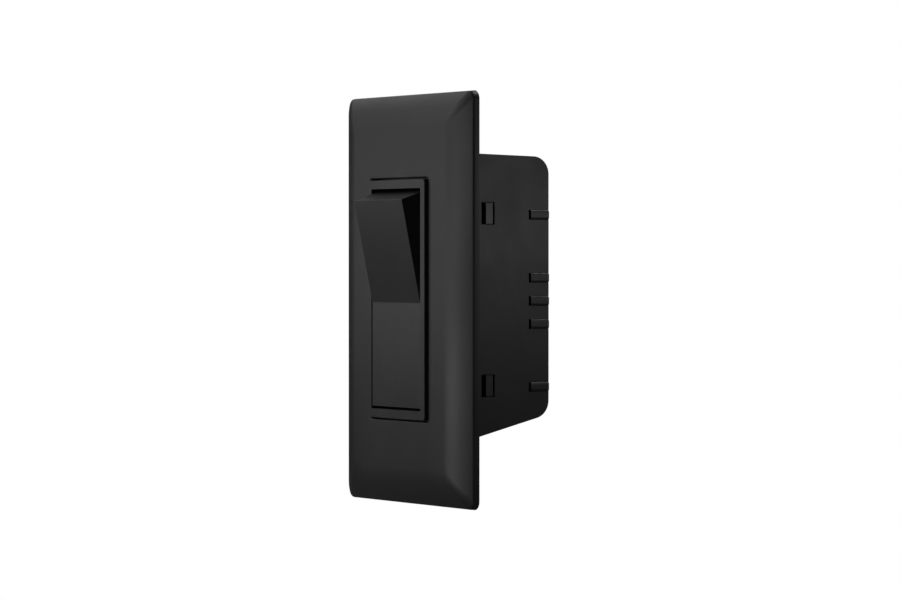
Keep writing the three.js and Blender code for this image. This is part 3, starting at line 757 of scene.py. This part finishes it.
class WALLSWITCH_OT_cover_plate(bpy.types.Operator):
    """Build the bevelled cover plate, with the ribs, snap legs and ejector marks on its back"""

    bl_idname = "wall_switch.cover_plate"
    bl_label = "Cover Plate"

    def bevel(self, plate, inset):
        """The bevel's angle and Y at an inset from the outline, in millimetres."""
        turn = (plate.steep - plate.shallow) / (plate.bevel_end - plate.bevel_start)
        angle = plate.steep - (inset - plate.bevel_start) * turn
        return angle, plate.bevel_front - math.log(math.cos(angle) / math.cos(plate.steep)) / turn

    def loops(self, plate):
        """Loops of points over the rim, the bevel, the crown, into the opening and back over the hollow."""
        width, height = PLATE_HIGH.x, PLATE_HIGH.z
        open_w, open_h = plate.opening_width, plate.opening_height
        lip = 0.4
        collar, collar_front = 1.2, -3.2
        back = plate.crown_front + plate.wall

        def inset_loop(inset, y):
            """The outline drawn in, with corners that are roundest where the bevel starts."""
            radius = max(1.2, 2.4 + inset if inset < 0.5 else 3 - 0.2 * inset)
            return corner_loop(width - inset, height - inset, radius, y)

        def crown_loop(share, y):
            """A loop that has gone a share of the way from the bevel's end to the opening's lip."""
            lip_w, lip_h = open_w + lip, open_h + lip
            grow_w = (width - plate.bevel_end - lip_w) * (1 - share)
            grow_h = (height - plate.bevel_end - lip_h) * (1 - share)
            return corner_loop(lip_w + grow_w, lip_h + grow_h, 1.3, y)

        lean = plate.rim_lean
        rim = [(0.14, 0), (0.04, -0.04), (0, -0.14), (lean, -plate.rim_depth), (lean + 0.03, -1.55),
               (lean + 0.09, -1.75), (lean + 0.15, -1.91)]
        loops = [inset_loop(inset, y) for inset, y in rim]
        steps = 14
        span = plate.bevel_end - plate.bevel_start
        fronts = [plate.bevel_start + span * i / steps for i in range(steps + 1)]
        loops += [inset_loop(inset, self.bevel(plate, inset)[1]) for inset in fronts]
        end_front = self.bevel(plate, plate.bevel_end)[1]
        loops += [crown_loop(t, end_front + (plate.crown_front - end_front) * t) for t in (0.3, 0.7, 1)]
        loops += [
            corner_loop(open_w + lip * (1 - math.sin(a)), open_h + lip * (1 - math.sin(a)), 1.2,
                        plate.crown_front + lip * (1 - math.cos(a)))
            for a in (math.radians(30), math.radians(60), math.radians(90))
        ]
        loops += [corner_loop(open_w, open_h, 1.2, collar_front)]
        loops += [corner_loop(open_w + collar, open_h + collar, 1.4, y) for y in (collar_front, back)]
        for inset in (plate.bevel_end, 8, 6, 4.5, 3.2, 2.4):
            angle, y = self.bevel(plate, inset)
            loops.append(inset_loop(inset, y + plate.wall / math.cos(angle)))
        inner_rim = [(1.75, -0.7), (1.7, -0.5), (1.7, -0.14), (1.6, -0.03), (1.5, 0)]
        return loops + [inset_loop(inset, y) for inset, y in inner_rim]

    def back_ribs(self):
        """Thin ribs in the hollow above and below the mechanism, with one across each group."""
        depth, half = (-4.2, -2.9), 0.4
        upright = [box_prism((x - half, x + half), depth, (z, z + 7)) for x in (-14, -7, 7, 14)
                   for z in (41.3, -48.3)]
        across = [box_prism((-22, 22), depth, (z - half, z + half)) for z in (-41.6, 41.6)]
        return upright + across

    def snap_legs(self):
        """Barbed legs that clip into the flange's slots."""
        outline = [(19.9, -4.2), (21.1, -4.2), (21.1, -0.95), (21.8, -0.95), (21.1, -0.3), (19.9, -0.3)]
        mirrored = [(-x, y) for x, y in outline]
        return [prism(side, z - 2.2, z + 2.2, "Z") for side in (outline, mirrored) for z in (-44, 44)]

    def execute(self, context):
        plate = settings().plate
        shape = solid_bmesh(*skin(self.loops(plate), closed=True))
        thing = link("cover_plate", mesh_of("cover_plate", shape), plate_plastic())
        boolean(thing, self.back_ribs() + self.snap_legs(), "UNION")
        shade(thing, 30)
        place(thing, MAIN_BODY, "plate", "wall_plate")
        marks = [(x, plate.crown_front + plate.wall, z) for x in (-20.5, 0, 20.5) for z in (-39, 39)]
        discs = grown("plate_ejector_marks", "Discs On Points", marks,
                      {"Radius": 1.3 * MM, "Height": 0.16 * MM, "Material": plate_plastic()})
        place(discs, MAIN_BODY, "plate")
        return {"FINISHED"}


class WALLSWITCH_OT_switch_frame(bpy.types.Operator):
    """Build the raised frame with its flange and skirt"""

    bl_idname = "wall_switch.switch_frame"
    bl_label = "Switch Frame"

    def execute(self, context):
        def share(middle, along, turn):
            """Keeps the barbs' edges nearly sharp."""
            on_barb = abs(middle.x) > BOX_HIGH.x - 1 and middle.y > 5
            return 0.3 if on_barb and turn > math.radians(SHARP) else None
        edge = settings().edges.moulded
        softened("frame_and_skirt", "switch_frame", edge, frame_plastic(), "frame", share=share)
        return {"FINISHED"}


class WALLSWITCH_OT_rocker(bpy.types.Operator):
    """Build the rocker, with a crisp crease between its two facets"""

    bl_idname = "wall_switch.rocker"
    bl_label = "Rocker"

    def execute(self, context):
        def share(middle, along, turn):
            """Rounds the front edges of both ends fully, and the crease and the sides' edges less."""
            if middle.y > -5 or turn < math.radians(5):
                return None
            across = abs(along.x) > 0.9
            return 1.0 if across and abs(middle.z) > 20 else 0.4
        edge = settings().edges.rocker_ends
        softened("rocker_paddle", "rocker", edge, rocker_plastic(), "rocker", share=share)
        return {"FINISHED"}


class WALLSWITCH_OT_wiring_box(bpy.types.Operator):
    """Build the wiring box that stands behind the wall"""

    bl_idname = "wall_switch.wiring_box"
    bl_label = "Wiring Box"

    def execute(self, context):
        def share(middle, along, turn):
            """Keeps the edges of the side notches and windows nearly sharp."""
            side = abs(middle.x) > BOX_HIGH.x - 2.5
            rear_notch = middle.y > 25 and abs(middle.z) < COVER_HIGH.z
            window = 9 < middle.y < 15 and 20 < abs(middle.z) < 28
            return 0.35 if side and (rear_notch or window) and turn > math.radians(SHARP) else None
        edge = settings().edges.box
        softened("wiring_box", "rear_housing", edge, box_plastic(), "housing", share=share)
        return {"FINISHED"}


class WALLSWITCH_OT_rear_cover(bpy.types.Operator):
    """Build the rear cover, with its locating ribs and the raised bars that a thumb presses"""

    bl_idname = "wall_switch.rear_cover"
    bl_label = "Rear Cover"

    rib_heights = (-24.4, -6.9, -0.45, 6.0, 23.55)

    def execute(self, context):
        shape = clean_copy("rear_cover")
        side = 16.9
        for sign in (-1, 1):
            cut = bmesh.ops.bisect_plane(
                shape, geom=shape.verts[:] + shape.edges[:] + shape.faces[:], dist=1e-7,
                plane_co=(sign * side * MM, 0, 0), plane_no=(sign, 0, 0), clear_outer=True)
            rims = [e for e in cut["geom_cut"] if isinstance(e, bmesh.types.BMEdge) and e.is_boundary]
            bmesh.ops.holes_fill(shape, edges=rims, sides=0)
        join_flat_faces(shape)
        cover = rounded("rear_cover_shell", shape, settings().edges.fine, box_plastic())
        place(cover, MAIN_BODY, "cover", "rear_cover")
        root, tip, front = side - 1.1, COVER_HIGH.x, 26.0
        ribs = [(sign * (root + tip) / 2, front, z) for sign in (-1, 1) for z in self.rib_heights]
        self.bars("cover_ribs", ribs, (tip - root, 2.9, COVER_HIGH.y - front), 0.8, 10)
        grips = [(0, COVER_HIGH.y - 0.65, z) for z in range(-15, 16, 3)]
        self.bars("cover_press_bars", grips, (18, 1.1, 0.45), 0.5, 6)
        return {"FINISHED"}

    def bars(self, name, points, size, fillet, steps):
        """Bars of one width, height and length, with filleted corners, on points; all in millimetres."""
        width, height, length = (value * MM for value in size)
        values = {"Width": width, "Height": height, "Length": length, "Fillet": fillet * MM,
                  "Fillet Steps": steps, "Material": box_plastic()}
        place(grown(name, "Bars On Points", points, values, width=0.12), MAIN_BODY, "cover")


class WALLSWITCH_OT_mechanism(bpy.types.Operator):
    """Build the insulating base, the terminals, the contacts, the contact bar and the sprung plunger"""

    bl_idname = "wall_switch.mechanism"
    bl_label = "Mechanism"

    def execute(self, context):
        edges = settings().edges
        softened("insulating_base", "switch_base", edges.fine, base_plastic(), "insulator")
        softened("plunger_pin", "plunger", edges.fine, base_plastic(), "insulator")
        for kind in ("line", "load", "ground"):
            name, node = f"{kind}_terminal_strip", f"{kind}_terminal"
            softened(name, node, edges.stamped, brass(), "brass", segments=2)
        softened("contact_bar_strip", "contact_bar", edges.stamped, copper(), "copper", segments=2)
        for kind in ("fixed", "moving"):
            name, node = f"{kind}_contact_rivet", f"{kind}_contact"
            softened(name, node, edges.stamped, silver(), "contact_silver", segments=2)
        self.spring()
        return {"FINISHED"}

    def spring(self):
        """The coil spring in the rocker's post, turned with the rocker."""
        start = -4.6
        coil = grown("plunger_coil_spring", "Coil", [], {
            "Radius": 1.5 * MM, "Wire Radius": 0.28 * MM, "Length": 6.3 * MM, "Turns": 6.0,
            "Steps": 40, "Sides": 12, "Material": spring_join()})
        joint = next(j for j in frame["joints"] if j["name"] == "rocker_tilt")
        tilt = math.radians(joint["range_deg"][1]) / 2
        pivot = Vector(joint["pos_m"])
        coil.data.transform(Matrix.Translation(pivot) @ Matrix.Rotation(tilt, 4, "X")
                            @ Matrix.Translation((0, start * MM, 0)))
        place(coil, body_of_node("plunger_spring"), "spring_steel", "plunger_spring")


class WALLSWITCH_OT_fasteners(bpy.types.Operator):
    """Build the threaded mounting screws, the base screws, the washers, the inserts and the clamp wings"""

    bl_idname = "wall_switch.fasteners"
    bl_label = "Fasteners"

    def execute(self, context):
        edges = settings().edges
        for end in ("top", "bottom"):
            self.mounting_screw(end)
            softened(f"base_screw_head_{end}", f"base_screw_{end}", edges.fine, zinc(), "zinc_steel")
            softened(f"fibre_washer_{end}", f"screw_retainer_{end}", edges.stamped, fibre(), "fibre")
            softened(f"threaded_insert_{end}", f"clamp_insert_{end}", edges.stamped, brass(), "brass")
            softened(f"swing_wing_{end}", f"clamp_wing_{end}", edges.fine, zinc(), "zinc_steel")
        return {"FINISHED"}

    def mounting_screw(self, end):
        """One pan-headed screw with a cross recess and a wound thread."""
        screw = settings().screw
        node = f"mounting_screw_{end}"
        low, high = node_box(node)
        centre = ((low.x + high.x) / 2, (low.z + high.z) / 2)
        head = (high.x - low.x) / 2
        seat = -1.25
        crown = [(0, low.y), (1.6, low.y), (2.05, low.y + 0.1), (2.45, low.y + 0.36),
                 (head - 0.07, low.y + 0.75), (head, low.y + 1.1)]
        under = [(head, seat - 0.12), (head - 0.12, seat), (screw.crest, seat)]
        shank = [(screw.crest, seat + 1), (screw.core, seat + 1.3), (screw.core, high.y - 0.7),
                 (screw.core - 0.55, high.y), (0, high.y)]
        name = f"mounting_screw_body_{end}"
        body = link(name, mesh_of(name, solid_bmesh(*turned(crown + under + shank, centre=centre))), zinc())
        cx, cz = centre
        depth = (low.y - 1, low.y + 0.95)
        long, short = 1.7, 0.36
        slots = [box_prism((cx - w, cx + w), depth, (cz - h, cz + h))
                 for w, h in ((long, short), (short, long))]
        boolean(body, slots, "DIFFERENCE")
        shade(body, 32)
        place(body, body_of_node(node), "zinc_steel", node)
        start, stop = seat + 1.4, high.y - 0.8
        ridge = grown(f"mounting_screw_thread_{end}", "Coil", [], {
            "Radius": (screw.core - 0.03) * MM, "Wire Radius": (screw.crest - screw.core) * MM,
            "Length": (stop - start) * MM, "Turns": (stop - start) / screw.pitch, "Steps": 28, "Sides": 6,
            "Material": zinc()})
        ridge.data.transform(Matrix.Translation(Vector((cx, start, cz)) * MM))
        place(ridge, body_of_node(node), "zinc_steel")


class WALLSWITCH_OT_stage(bpy.types.Operator):
    """Build the camera, the pale floor and the soft lights"""

    bl_idname = "wall_switch.stage"
    bl_label = "Stage"

    floor_half = 6
    floor_grey = (0.12, 0.12, 0.12, 1)
    white = (1, 1, 1, 1)
    world_strength = 0.01
    # name, degrees round from straight in front, degrees up, distance and size in metres
    lights = (
        ("key", -50, 25, 0.5, 0.25),
        ("low", -30, -15, 0.5, 0.25),
        ("left", -90, 40, 0.5, 0.25),
        ("front", -10, 0, 0.5, 0.25),
        ("edge", 12, 5, 0.5, 0.1),
        ("sheen", -55, 5, 0.25, 0.08),
        ("side", 121, 8, 0.2, 0.05),
        ("rear", 180, 60, 0.4, 0.2),
        ("under", -60, -25, 0.5, 0.25),
    )

    def execute(self, context):
        stage = settings().stage
        self.camera(stage)
        self.floor(stage)
        past_rocker = self.all_but("rocker_paddle")
        for name, round_, up, distance, size in self.lights:
            self.light(name, round_, up, distance, size, getattr(stage, name), past_rocker)
        context.scene.view_settings.view_transform = "Standard"
        return {"FINISHED"}

    def camera(self, stage):
        """A long lens on the object's right, looking almost level."""
        data = bpy.data.cameras.new("camera")
        data.lens = stage.lens
        data.sensor_width = 36
        data.clip_start = 0.05
        data.clip_end = 20
        camera = bpy.data.objects.new("camera", data)
        bpy.context.scene.collection.objects.link(camera)
        turn, dip = stage.camera_turn, stage.camera_dip
        back = Vector((math.sin(turn) * math.cos(dip), -math.cos(turn) * math.cos(dip), math.sin(dip)))
        camera.location = stage.camera_place
        camera.rotation_mode = "QUATERNION"
        camera.rotation_quaternion = back.to_track_quat("Z", "Y")
        bpy.context.scene.camera = camera

    def floor(self, stage):
        """A wide pale floor that is seen as plain white, and a white world."""
        half = self.floor_half
        z = CAD_BOX[0].z - stage.floor_drop
        corners = [(-half, -half, z), (half, -half, z), (half, half, z), (-half, half, z)]
        mesh = bpy.data.meshes.new("floor")
        mesh.from_pydata(corners, [], [(0, 1, 2, 3)])
        floor = link("floor", mesh, self.floor_material())
        world = bpy.data.worlds.new("world")
        bpy.context.scene.world = world
        world.use_nodes = True
        tree = world.node_tree
        seen = tree.nodes["Background"]
        seen.inputs["Color"].default_value = self.white
        unseen = add_node(tree, "ShaderNodeBackground", Color=self.white, Strength=self.world_strength)
        show_camera(world, seen.outputs["Background"], unseen.outputs["Background"], "World Output")

    def floor_material(self):
        """White to the camera, and matt grey to the object."""
        material, shader = new_material("Floor")
        shader.inputs["Base Color"].default_value = self.floor_grey
        shader.inputs["Roughness"].default_value = 0.9
        white = material.node_tree.nodes.new("ShaderNodeEmission")
        show_camera(material, white.outputs["Emission"], shader.outputs["BSDF"], "Material Output")
        return material

    def all_but(self, name):
        """A collection that stands for every object but one, for the lights that shine past that one."""
        others = bpy.data.collections.new("all_but_" + name)
        others.objects.link(bpy.data.objects[name])
        others.collection_objects[0].light_linking.link_state = "EXCLUDE"
        return others

    def light(self, name, round_, up, distance, size, power, past_rocker):
        """A square soft light that faces the object's middle; those in front cast no shadow of the rocker."""
        data = bpy.data.lights.new(name + "_light", "AREA")
        data.size = size
        data.energy = power
        light = bpy.data.objects.new(name + "_light", data)
        bpy.context.scene.collection.objects.link(light)
        round_, up = math.radians(round_), math.radians(up)
        towards = Vector((math.sin(round_) * math.cos(up), -math.cos(round_) * math.cos(up), math.sin(up)))
        light.location = towards * distance
        light.rotation_mode = "QUATERNION"
        light.rotation_quaternion = towards.to_track_quat("Z", "Y")
        light.visible_camera = False
        if towards.y < 0:
            light.light_linking.blocker_collection = past_rocker


class WallSwitchSettings(bpy.types.PropertyGroup):
    """All the settings of this add-on."""

    plate: bpy.props.PointerProperty(type=PlateSettings, name="Plate", description="Cover plate")
    edges: bpy.props.PointerProperty(type=EdgeSettings, name="Edges", description="Edge rounding")
    finish: bpy.props.PointerProperty(type=FinishSettings, name="Finish", description="Colours and texture")
    screw: bpy.props.PointerProperty(type=ScrewSettings, name="Screws", description="Mounting screws")
    stage: bpy.props.PointerProperty(type=StageSettings, name="Stage", description="Camera, floor and lights")


BUILD_ORDER = (
    WALLSWITCH_OT_cover_plate,
    WALLSWITCH_OT_switch_frame,
    WALLSWITCH_OT_rocker,
    WALLSWITCH_OT_wiring_box,
    WALLSWITCH_OT_rear_cover,
    WALLSWITCH_OT_mechanism,
    WALLSWITCH_OT_fasteners,
    WALLSWITCH_OT_stage,
)


class WALLSWITCH_PT_panel(bpy.types.Panel):
    """Lists the settings and the operators"""

    bl_idname = "WALLSWITCH_PT_panel"
    bl_label = "Wall Switch"
    bl_space_type = "VIEW_3D"
    bl_region_type = "UI"
    bl_category = "Wall Switch"

    def draw(self, context):
        for operator in BUILD_ORDER:
            self.layout.operator(operator.bl_idname)
        for group in ("plate", "edges", "finish", "screw", "stage"):
            box = self.layout.box()
            box.label(text=group.title())
            values = getattr(context.scene.wall_switch, group)
            for name in values.__annotations__:
                box.prop(values, name)


CLASSES = (PlateSettings, EdgeSettings, FinishSettings, ScrewSettings, StageSettings, WallSwitchSettings,
           *BUILD_ORDER, WALLSWITCH_PT_panel)


def register():
    for cls in CLASSES:
        bpy.utils.register_class(cls)
    bpy.types.Scene.wall_switch = bpy.props.PointerProperty(type=WallSwitchSettings)


def unregister():
    del bpy.types.Scene.wall_switch
    for cls in reversed(CLASSES):
        bpy.utils.unregister_class(cls)


def main():
    register()
    for operator in BUILD_ORDER:
        group, name = operator.bl_idname.split(".")
        getattr(getattr(bpy.ops, group), name)()


if __name__ == "__main__":
    main()
